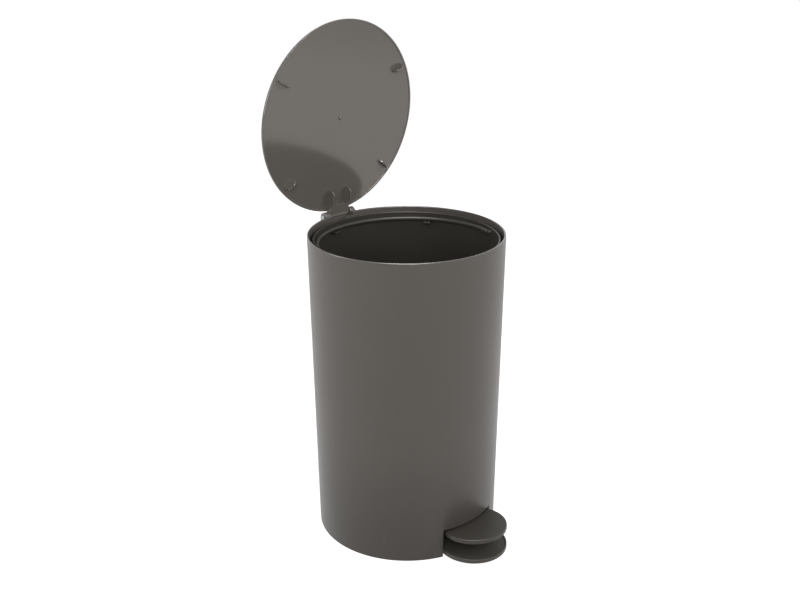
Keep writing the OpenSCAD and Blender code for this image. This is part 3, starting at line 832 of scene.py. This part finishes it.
# Half-round ribs near the edge; front and rear are degrees from the x axis
ribForm = {
    "r": 6.0,
    "thick": 1.5,
    "placeR": 75.0,
    "front": 30,
    "rear": 43,
    "edge": 0.25,
    "sink": 0.5,
    "steps": 28,
}
bm = bmesh.new()
half = arc((0, 0), ribForm["r"], 180, 360, ribForm["steps"])
outline = [(ribForm["r"], ribForm["sink"]), (-ribForm["r"], ribForm["sink"])] + half
for angle in (ribForm["front"], 180 - ribForm["front"], 180 + ribForm["rear"], -ribForm["rear"]):
    stand = Matrix.Rotation(math.radians(-angle), 4, "Z")
    stand = stand @ Matrix.Translation((ribForm["placeR"], ribForm["thick"] / 2, lidForm["flatZ"]))
    stand = stand @ Matrix.Rotation(math.radians(90), 4, "X")
    placedBy(bm, stand, softSlab, outline, 0, ribForm["thick"], ribForm["edge"], ribForm["edge"])
makePiece("lidEdgeRibs", bm, lidPlastic, lidSpace(), "lid", ["lid"])

# Hinge block, its knuckle round the pin and the two ribs in front of it
blockForm = {
    "half": 11.2,
    "long": 10.0,
    "back": 5.8,
    "drop": 1.7,
    "edge": 0.3,
    "corners": (0.3, 0.5, 0.5, 0),
    "ribDeep": 8.0,
    "ribRound": 4.0,
    "ribX": 9.9,
    "ribLong": 24.3,
    "ribThick": 1.5,
    "ribIn": 1.0,  # reach of a rib into the block
    "stepY": 77.2,
    "knuckleR": 2.1,
    "knuckleHalf": 11.6,
    "knuckleRound": 0.3,
    "knuckleSteps": 40,
}
gateForm = {"r": 1.8, "high": 1.2, "round": 0.7, "steps": 28}  # mark of the moulding gate at the centre


# Side outline of a hinge rib: round nose, flat edge, then a step up to the block's face
def hingeRibOutline():
    form = blockForm
    top = lidForm["flatZ"] + ribForm["sink"]
    low = lidForm["flatZ"] - form["ribDeep"]
    tip = place["hingeY"] - form["ribLong"]
    rear = place["hingeY"] - form["long"] + form["ribIn"]
    face = place["hingeZ"] - form["drop"]
    nose = arc((tip + form["ribRound"], low + form["ribRound"]), form["ribRound"], 180, 270, 12)
    return [(rear, top), (tip, top)] + nose + [(form["stepY"], low), (form["stepY"], face), (rear, face)]


bm = bmesh.new()
for side in (1, -1):
    start = side * blockForm["ribX"] - blockForm["ribThick"] / 2
    edge = ribForm["edge"]
    placedBy(bm, acrossX(start), softSlab, hingeRibOutline(), 0, blockForm["ribThick"], edge, edge)
makePiece("lidHingeRibs", bm, lidPlastic, lidSpace(), "lid", ["lid"])

bm = bmesh.new()
face, flat = place["hingeZ"] - blockForm["drop"], lidForm["flatZ"]
front, back = place["hingeY"] - blockForm["long"], place["hingeY"] + blockForm["back"]
block = [(front, face), (back, face), (back, flat), (front, flat + ribForm["sink"])]
block = softCorners(block, blockForm["corners"])
half, edge = blockForm["half"], blockForm["edge"]
placedBy(bm, acrossX(-half), softSlab, block, 0, 2 * half, edge, edge)
half, soft = blockForm["knuckleHalf"], blockForm["knuckleRound"]
knuckleIn = blockForm["knuckleR"] - soft
knuckle = [(0, -half)] + arc((knuckleIn, soft - half), soft, -90, 0, 3)
knuckle += arc((knuckleIn, half - soft), soft, 0, 90, 3) + [(0, half)]
onAxis = Matrix.Translation((0, place["hingeY"], place["hingeZ"])) @ Matrix.Rotation(math.radians(90), 4, "Y")
placedBy(bm, onAxis, turnProfile, knuckle, blockForm["knuckleSteps"])
gateR, soft, gateZ = gateForm["r"], gateForm["round"], flat - gateForm["high"]
gate = [(0, flat + ribForm["sink"]), (0, gateZ)]
gate += arc((gateR - soft, gateZ + soft), soft, -90, 0) + [(gateR, flat + ribForm["sink"])]
turnProfile(bm, gate, gateForm["steps"])
makePiece("lidHingeBlock", bm, lidPlastic, lidSpace(), "lid", ["lid"])
print("lid done")


# Pedal pad, drawn level about its axle: round front, straight back, hollow under its skirt

padForm = {
    "r": 29.09,
    "centre": 79.7,
    "cutY": 70.1,
    "low": 1.1,
    "top": 5.0,
    "edge": 0.9,
    "lowEdge": 0.4,
    "skirt": 1.8,
    "skirtEdge": 0.15,
    "deck": 2.0,
    "cornerR": 1.0,
    "flatIn": 1.0,  # from a rounding to the next ring of the flat
    "steps": 96,
}


def padOutline():
    form = padForm
    rise = form["centre"] - form["cutY"]
    reach = math.sqrt(form["r"] ** 2 - rise**2)
    start = math.degrees(math.atan2(rise, reach))
    front = arc((0, -form["centre"]), form["r"], -180 - start, start, form["steps"])
    radii = [form["cornerR"]] + [0] * (len(front) - 2) + [form["cornerR"]]
    return softCorners(front, radii)


def padLevels():
    form = padForm
    inner, low, top = form["skirt"], form["low"], form["top"]
    edge, lowEdge, chamfer = form["edge"], form["lowEdge"], form["skirtEdge"]
    levels = [(inner + form["flatIn"], top - form["deck"]), (inner, top - form["deck"])]
    levels += [(inner, low + chamfer), (inner - chamfer, low)]
    levels += [(lowEdge - r, z) for r, z in arc((0, low + lowEdge), lowEdge, -90, 0, 3)]
    levels += [(edge - r, z) for r, z in arc((0, top - edge), edge, 0, 90, 5)]
    return levels + [(edge + form["flatIn"], top)]


bm = bmesh.new()
stackRings(bm, padOutline(), padLevels())
makePiece("pedalDeck", bm, pedalPlastic, pedalSpace(), "pedal", ["pedal_pad"])
print("pedal pad done")


# Base pan: round plate with the foot tongue in one outline, the tongue's raised edge, wall, bosses and stop

panForm = {
    "r": 79.3,
    "low": 3.0,
    "top": 6.1,
    "neckHalf": 29.2,
    "tongueR": 30.2,
    "tongueC": 83.3,
    "edge": 0.4,
    "recessR": 3.1,
    "recessDeep": 1.6,
    "recessEdge": 0.15,
    "shankR": 1.7,
    "holeSteps": 32,
    "clear": 81.6,  # radius at which the tongue's round front starts
    "plateSteps": 150,
    "tongueSteps": 90,
}


# Angle about the tongue's centre at which the tongue's round front starts
def tongueStart():
    form = panForm
    y = -(form["clear"] ** 2 + form["tongueC"] ** 2 - form["tongueR"] ** 2) / (2 * form["tongueC"])
    x = math.sqrt(form["clear"] ** 2 - y * y)
    return math.degrees(math.atan2(y + form["tongueC"], x))


def panOutline():
    form = panForm
    turn = math.degrees(math.asin(form["neckHalf"] / form["r"]))
    start = tongueStart()
    plate = arc((0, 0), form["r"], -90 + turn, 270 - turn, form["plateSteps"])
    x = form["neckHalf"]
    y = -form["tongueC"] + form["tongueR"] * math.sin(math.radians(start))
    sweep = (180 - start, 360 + start, form["tongueSteps"])
    return plate + [(-x, y)] + arc((0, -form["tongueC"]), form["tongueR"], *sweep) + [(x, y)]


# Plate with four stepped screw holes, its flat faces filled round the holes
def buildPlate(bm):
    form = panForm
    edge = form["edge"]
    levels = [(edge - r, z) for r, z in arc((0, form["low"] + edge), edge, -90, 0, 3)]
    levels += [(edge - r, z) for r, z in arc((0, form["top"] - edge), edge, 0, 90, 3)]
    stacks = [outlineRings(bm, panOutline(), levels)]
    step = form["low"] + form["recessDeep"]
    wide, chamfer, sides = form["recessR"], form["recessEdge"], form["holeSteps"]
    hole = [(wide + chamfer, form["low"]), (wide, form["low"] + chamfer), (wide, step)]
    hole += [(form["shankR"], step), (form["shankR"], form["top"])]
    around = (0, 360 * (sides - 1) / sides, sides - 1)
    for angle in postAngles():
        x = postForm["placeR"] * math.cos(math.radians(angle))
        y = postForm["placeR"] * math.sin(math.radians(angle))
        stacks.append([[bm.verts.new((*p, z)) for p in arc((x, y), r, *around)] for r, z in hole])
    for stack in stacks:
        joinRings(bm, stack)
    for end in (0, -1):
        rings = []
        for stack in stacks:
            ring = stack[end]
            rings += [bm.edges.get((ring[i - 1], ring[i])) for i in range(len(ring))]
        bmesh.ops.triangle_fill(bm, use_beauty=True, edges=rings)


bm = bmesh.new()
buildPlate(bm)
makePiece("panPlate", bm, panPlastic, shellSpace(), "shell", ["base_pan"])

# Raised bead along the tongue's round edge
beadForm = {"proud": 0.02, "high": 0.6, "wide": 1.4, "sink": 0.1, "foot": 1.5, "slope": 0.4, "round": 0.6}


def beadProfile():
    form = beadForm
    low, top = panForm["low"] + form["foot"], panForm["top"] + form["high"]
    outR, soft, slope = panForm["tongueR"] + form["proud"], form["round"], form["slope"]
    profile = [(outR - form["wide"] - form["high"], panForm["top"] - form["sink"])]
    profile += [(outR - slope, low), (outR, low + slope)]
    return profile + arc((outR - soft, top - soft), soft, 0, 90) + [(outR - form["wide"], top)]


bm = bmesh.new()
start = tongueStart()
sweep = (panForm["tongueSteps"], 180 - start, 180 + 2 * start)
placedBy(bm, Matrix.Translation((0, -panForm["tongueC"], 0)), turnProfile, beadProfile(), *sweep)
makePiece("tongueBead", bm, panPlastic, shellSpace(), "shell", ["base_pan"])

# Locating wall inside the shell, in stretches between the posts, with the axle's bosses and the lever's stop
ringForm = {
    "high": 5.0,
    "thick": 1.5,
    "clear": 0.05,
    "chamfer": 0.3,
    "postClear": 1.0,
    "from": -68,  # degrees
    "to": 84.5,
    "steps": 24,
}
bossForm = {"in": 12.0, "thick": 5.0, "r": 5.0, "edge": 0.3, "steps": 20}
stopForm = {"half": 11.0, "y": 54.8, "thick": 6.0, "top": 9.3, "corner": 0.6, "lowEdge": 0.1, "edge": 0.4}
panSink = 0.2  # reach of the fittings into the plate


def ringProfile():
    low, top = panForm["top"] - panSink, panForm["top"] + ringForm["high"]
    inner, outer = panForm["r"] - ringForm["thick"], panForm["r"] - ringForm["clear"]
    chamfer = ringForm["chamfer"]
    profile = [(inner, low), (outer, low), (outer, top - chamfer), (outer - chamfer, top)]
    return profile + [(inner + chamfer, top), (inner, top - chamfer)]


bm = bmesh.new()
gap = math.degrees(math.asin((postForm["r"] + ringForm["postClear"]) / panForm["r"]))
post, first, last = postForm["angle"], ringForm["from"], ringForm["to"]
for low, high in ((first, -post - gap), (gap - post, post - gap), (post + gap, last)):
    turnProfile(bm, ringProfile(), ringForm["steps"], low, high - low)
    turnProfile(bm, ringProfile(), ringForm["steps"], 180 - high, high - low)
y, z, r = place["axleY"], place["axleZ"], bossForm["r"]
boss = [(y - r, panForm["top"] - panSink), (y + r, panForm["top"] - panSink)]
boss += arc((y, z), r, 0, 180, bossForm["steps"])
for side in (1, -1):
    start = bossForm["in"] if side > 0 else -bossForm["in"] - bossForm["thick"]
    placedBy(bm, acrossX(start), softSlab, boss, 0, bossForm["thick"], bossForm["edge"], bossForm["edge"])
near, far, half = stopForm["y"], stopForm["y"] + stopForm["thick"], stopForm["half"]
stop = softCorners([(-half, near), (half, near), (half, far), (-half, far)], stopForm["corner"])
softSlab(bm, stop, panForm["top"] - panSink, stopForm["top"], stopForm["lowEdge"], stopForm["edge"])
makePiece("panFittings", bm, panPlastic, shellSpace(), "shell", ["base_pan"])
print("base pan done")


# Rubber feet: soft-edged pads with a shallow hollow in the tread

footForm = {
    "r": 7.0,
    "placeR": 56.1,
    "low": -1.0,
    "top": 3.0,
    "edge": 0.5,
    "hollowR": 4.2,
    "hollow": 0.3,
    "hollowSlope": 0.5,
    "steps": 48,
}
footPlaces = {
    "footFrontLeft": ("foot_front_left", -1, -1),
    "footFrontRight": ("foot_front_right", 1, -1),
    "footRearLeft": ("foot_rear_left", -1, 1),
    "footRearRight": ("foot_rear_right", 1, 1),
}
for label, (nodeName, x, y) in footPlaces.items():
    form = footForm
    bm = bmesh.new()
    hollowZ = form["low"] + form["hollow"]
    tread = [(0, hollowZ), (form["hollowR"] - form["hollowSlope"], hollowZ), (form["hollowR"], form["low"])]
    tread += arc((form["r"] - form["edge"], form["low"] + form["edge"]), form["edge"], -90, 0)
    tread += [(form["r"], form["top"]), (0, form["top"])]
    spot = form["placeR"] * math.sqrt(0.5)
    placedBy(bm, Matrix.Translation((x * spot, y * spot, 0)), turnProfile, tread, form["steps"])
    makePiece(label, bm, footRubber, shellSpace(), "shell", [nodeName])
print("feet done")


# Lift-out bucket and its bail handle

bucketForm = {
    "z": 34.3,
    "top": 270.8,
    "baseR": 72.6,
    "sideR": 80.2,
    "rimR": 80.4,
    "rimIn": 78.8,
    "rimHigh": 2.0,
    "wall": 1.4,
    "rimRound": 0.5,
    "footRound": 1.0,
    "floorRound": 3,
    "rings": (110, 190),
    "innerRings": (240, 190, 110, 60),
    "steps": 160,
}


def bucketR(z):
    form = bucketForm
    return form["baseR"] + (form["sideR"] - form["baseR"]) * (z - form["z"]) / (form["top"] - form["z"])


def bucketProfile():
    form = bucketForm
    soft, footSoft, floorSoft = form["rimRound"], form["footRound"], form["floorRound"]
    rimZ = form["top"] - form["rimHigh"]
    floorZ = form["z"] + form["wall"]
    profile = [(0, form["z"])]
    profile += arc((form["baseR"] - footSoft, form["z"] + footSoft), footSoft, -90, 0)
    profile += [(bucketR(z), z) for z in form["rings"]] + [(bucketR(rimZ), rimZ), (form["rimR"], rimZ)]
    profile += arc((form["rimR"] - soft, form["top"] - soft), soft, 0, 90)
    profile += arc((form["rimIn"] + soft, form["top"] - soft), soft, 90, 180)
    profile += [(bucketR(z) - form["wall"], z) for z in form["innerRings"]]
    profile += arc((bucketR(floorZ) - form["wall"] - floorSoft, floorZ + floorSoft), floorSoft, 0, -90, 5)
    return profile + [(0, floorZ)]


bm = bmesh.new()
turnProfile(bm, bucketProfile(), bucketForm["steps"])
makePiece("bucketBody", bm, bucketPlastic, bucketSpace(), "shell", ["inner_bucket"])

# Lugs inside the rim; angles are degrees from the x axis
lugForm = {
    "in": 73.6,
    "out": 79.0,
    "half": 3.5,
    "corner": 0.8,
    "top": 263.1,
    "thick": 2.0,
    "edge": 0.3,
    "angles": (55, 125),
}
bm = bmesh.new()
near, far, half, corner = [lugForm[key] for key in ("in", "out", "half", "corner")]
lug = softCorners([(near, -half), (far, -half), (far, half), (near, half)], [corner, 0, 0, corner])
top, edge = lugForm["top"], lugForm["edge"]
for angle in lugForm["angles"]:
    spin = Matrix.Rotation(math.radians(angle), 4, "Z")
    placedBy(bm, spin, softSlab, lug, top - lugForm["thick"], top, edge, edge)
makePiece("bailLugs", bm, bucketPlastic, bucketSpace(), "shell", ["inner_bucket"])

bailForm = {
    "placeR": 76.6,
    "r": 1.8,
    "z": 266.7,
    "end": 81.6,
    "headR": 2.4,
    "head": 1.0,
    "round": 0.3,
    "stubIn": 0.4,  # reach of a stub into the ring
    "sag": 1.2,  # degrees
    "roundSteps": 24,
    "ringSteps": 96,
    "stubSteps": 32,
}


# Half ring with a headed stub at each end, tipped down about the stubs
def buildBail(bm):
    form = bailForm
    sides, soft, head = form["roundSteps"], form["round"], form["headR"]
    ring = arc((form["placeR"], 0), form["r"], 0, 360 * (sides - 1) / sides, sides - 1)
    turnProfile(bm, ring, form["ringSteps"], 0, 180)
    first, last = form["placeR"] - form["stubIn"], form["end"]
    stub = [(0, first)] + arc((form["r"] - soft, first + soft), soft, -90, 0, 3)
    stub += [(form["r"], last - form["head"]), (head, last - form["head"])]
    stub += arc((head - soft, last - soft), soft, 0, 90, 3) + [(0, last)]
    for turn in (90, -90):
        placedBy(bm, Matrix.Rotation(math.radians(turn), 4, "Y"), turnProfile, stub, form["stubSteps"])
    hang = Matrix.Translation((0, 0, form["z"])) @ Matrix.Rotation(math.radians(-form["sag"]), 4, "X")
    bmesh.ops.transform(bm, matrix=hang, verts=bm.verts)


bm = bmesh.new()
buildBail(bm)
makePiece("bailRing", bm, bailPlastic, bucketSpace(), "shell", ["bail_handle"])
print("bucket done")


# Camera, floor and light

view = {
    "from": (-0.6073, -0.6083, 0.5389),
    "turn": 44.48,  # degrees the camera stands round from the front, to the left
    "aside": -0.38,
    "down": 20.54,
    "roll": -0.21,
    "lens": 47.62,
    "sensor": 36.0,
}


def placeCamera():
    lens = bpy.data.cameras.new("camera")
    lens.lens = view["lens"]
    lens.sensor_width = view["sensor"]
    camera = bpy.data.objects.new("camera", lens)
    heading = Matrix.Rotation(math.radians(-view["turn"] - view["aside"]), 4, "Z")
    tilt = Matrix.Rotation(math.radians(90 - view["down"]), 4, "X")
    roll = Matrix.Rotation(math.radians(view["roll"]), 4, "Z")
    camera.matrix_world = Matrix.Translation(view["from"]) @ heading @ tilt @ roll
    bpy.context.scene.collection.objects.link(camera)
    bpy.context.scene.camera = camera


studio = {
    "floorSize": 3.0,
    "floorTone": 0.9,  # seen by the camera and in reflections
    "floorBounce": 0.08,  # tone for light that bounces off it
    "floorWhite": 0.8,  # glow to the camera, which leaves room for the shadow
    "floorMirrored": 0.85,  # glow in reflections
    "floorRough": 0.95,
    "floorSpecular": 0.1,
    "world": 0.2,
    "lamps": [
        # name, place, aimed at, width, height, watts, lights surfaces, shows in reflections
        ("leftBox", (-1.03, 0.81, 0.75), (0, 0, 0.28), 0.5, 0.7, 6.8, True, True),
        ("rightBox", (0.82, -1.02, 0.75), (0, 0, 0.28), 0.5, 0.7, 6.0, True, False),
        ("frontBox", (-0.85, -0.85, 0.8), (0, 0, 0.26), 0.7, 0.7, 9.0, True, False),
        ("topBox", (-0.3, -0.3, 1.4), (0, 0, 0.25), 0.8, 0.8, 32.0, False, True),
    ],
}


# Masks of the rays that see the plain white background: the camera's, and those of mirrors and glass
def backgroundRays(tree):
    path = node(tree, "ShaderNodeLightPath").outputs
    mirrored = calc(tree, "MAXIMUM", path["Is Glossy Ray"], path["Is Transmission Ray"])
    return path["Is Camera Ray"], mirrored


def buildFloor():
    size = studio["floorSize"]
    mesh = bpy.data.meshes.new("floor")
    corners = [(-size, -size, 0), (size, -size, 0), (size, size, 0), (-size, size, 0)]
    mesh.from_pydata(corners, [], [(0, 1, 2, 3)])
    floor = bpy.data.objects.new("floor", mesh)
    bpy.context.scene.collection.objects.link(floor)
    matter = bpy.data.materials.new("floorPaper")
    matter.use_nodes = True
    tree = matter.node_tree
    surface = tree.nodes["Principled BSDF"]
    camera, mirrored = backgroundRays(tree)
    low, high = [(v, v, v, 1) for v in (studio["floorBounce"], studio["floorTone"])]
    tone = blendColor(tree, calc(tree, "MAXIMUM", camera, mirrored), low, high)
    toCamera = calc(tree, "MULTIPLY", camera, studio["floorWhite"])
    toMirror = calc(tree, "MULTIPLY", mirrored, studio["floorMirrored"])
    tree.links.new(tone, surface.inputs["Base Color"])
    tree.links.new(calc(tree, "MAXIMUM", toCamera, toMirror), surface.inputs["Emission Strength"])
    surface.inputs["Emission Color"].default_value = (1, 1, 1, 1)
    surface.inputs["Roughness"].default_value = studio["floorRough"]
    surface.inputs["Specular IOR Level"].default_value = studio["floorSpecular"]
    mesh.materials.append(matter)


def buildWorld():
    world = bpy.data.worlds.new("studio")
    bpy.context.scene.world = world
    world.use_nodes = True
    tree = world.node_tree
    tree.nodes.clear()
    white = (1, 1, 1, 1)
    light = node(tree, "ShaderNodeBackground", {"Color": white, "Strength": studio["world"]})
    plain = node(tree, "ShaderNodeBackground", {"Color": white, "Strength": 1.0})
    seen = calc(tree, "MAXIMUM", *backgroundRays(tree))
    mix = node(tree, "ShaderNodeMixShader", {0: seen, 1: light.outputs[0], 2: plain.outputs[0]})
    node(tree, "ShaderNodeOutputWorld", {"Surface": mix.outputs[0]})


def placeLamps():
    for name, spot, aim, width, height, watts, lights, shows in studio["lamps"]:
        lamp = bpy.data.lights.new(name, "AREA")
        lamp.shape = "RECTANGLE"
        lamp.size = width
        lamp.size_y = height
        lamp.energy = watts
        holder = bpy.data.objects.new(name, lamp)
        holder.location = spot
        holder.rotation_euler = (Vector(aim) - Vector(spot)).to_track_quat("-Z", "Y").to_euler()
        holder.visible_diffuse = lights
        holder.visible_glossy = shows
        bpy.context.scene.collection.objects.link(holder)


placeCamera()
buildFloor()
buildWorld()
placeLamps()
bpy.context.scene.view_settings.view_transform = "Standard"
print("studio done")
